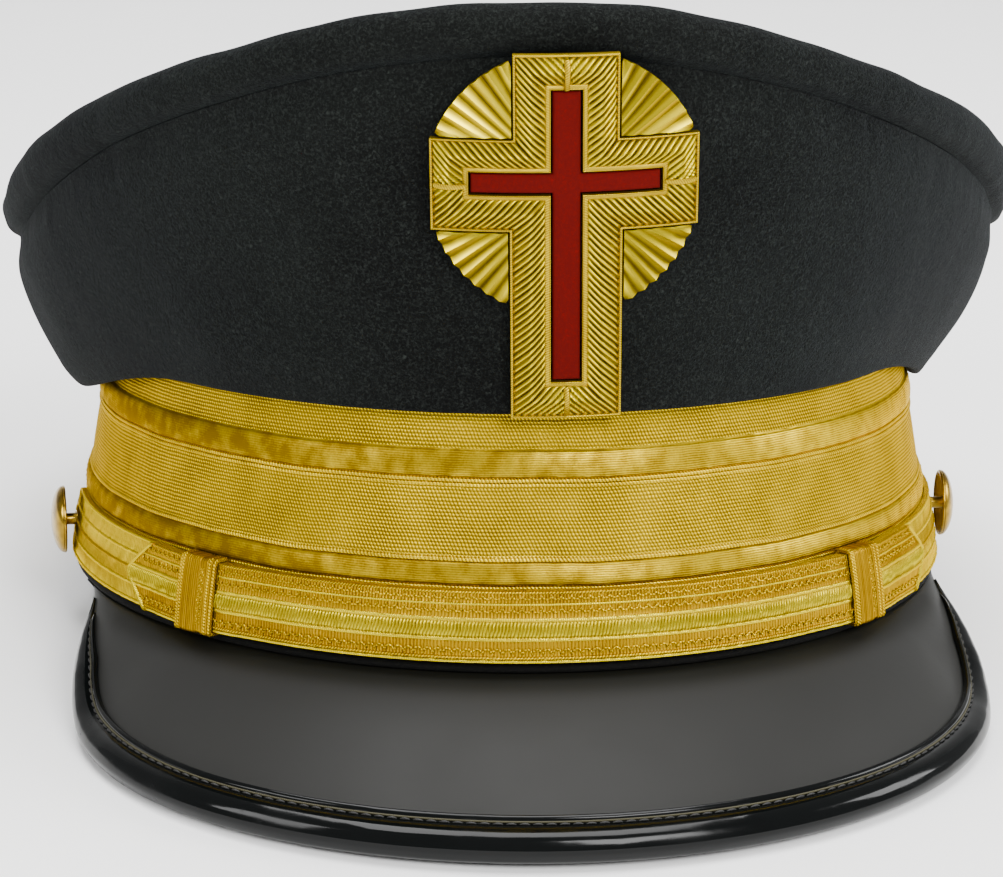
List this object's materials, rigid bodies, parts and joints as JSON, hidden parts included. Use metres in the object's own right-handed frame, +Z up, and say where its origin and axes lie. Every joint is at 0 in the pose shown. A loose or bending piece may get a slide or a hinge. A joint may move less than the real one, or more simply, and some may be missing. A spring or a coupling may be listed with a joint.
{
  "type": "fatigue cap",
  "caption": "Peaked cap with a black cloth crown, a tall gold lace band, a chin strap on side buttons, a bound patent peak and a rayed Latin cross badge.",
  "frame": {"origin": "centre of the cap's footprint, on the surface that it rests on", "axes": "+Z up, -Y towards the peak, +X towards the right side as seen from the front"},
  "size_m": [0.2068, 0.2574, 0.1428],
  "materials": {
    "wool_black": "milled wool cloth, matt, fine nap",
    "band_black": "black covered stiff band, dull",
    "gold_lace": "woven metallic gold lace with smooth raised stripes",
    "gold_strap": "ribbed metallic gold strap lace",
    "patent_black": "smooth patent leather, grey-black gloss",
    "binding_black": "high gloss folded edge binding",
    "bullion_gold": "twisted gold bullion wire",
    "inlay_red": "fine red cloth",
    "button_brass": "gilt brass, slightly tarnished"
  },
  "bodies": {
    "root": {"crown_top": "wool_black", "crown_side": "wool_black", "band_body": "band_black", "lace_band": "gold_lace", "peak_board": "patent_black", "peak_binding": "binding_black", "chin_strap_under": "gold_strap", "chin_strap_front": "gold_strap", "strap_keeper_left": "gold_strap", "strap_keeper_right": "gold_strap", "side_button_left": "button_brass", "side_button_right": "button_brass", "badge_frame": "bullion_gold", "badge_inlay": "inlay_red", "badge_rays_upper_left": "bullion_gold", "badge_rays_upper_right": "bullion_gold", "badge_rays_lower_left": "bullion_gold", "badge_rays_lower_right": "bullion_gold"}
  },
  "joints": []
}
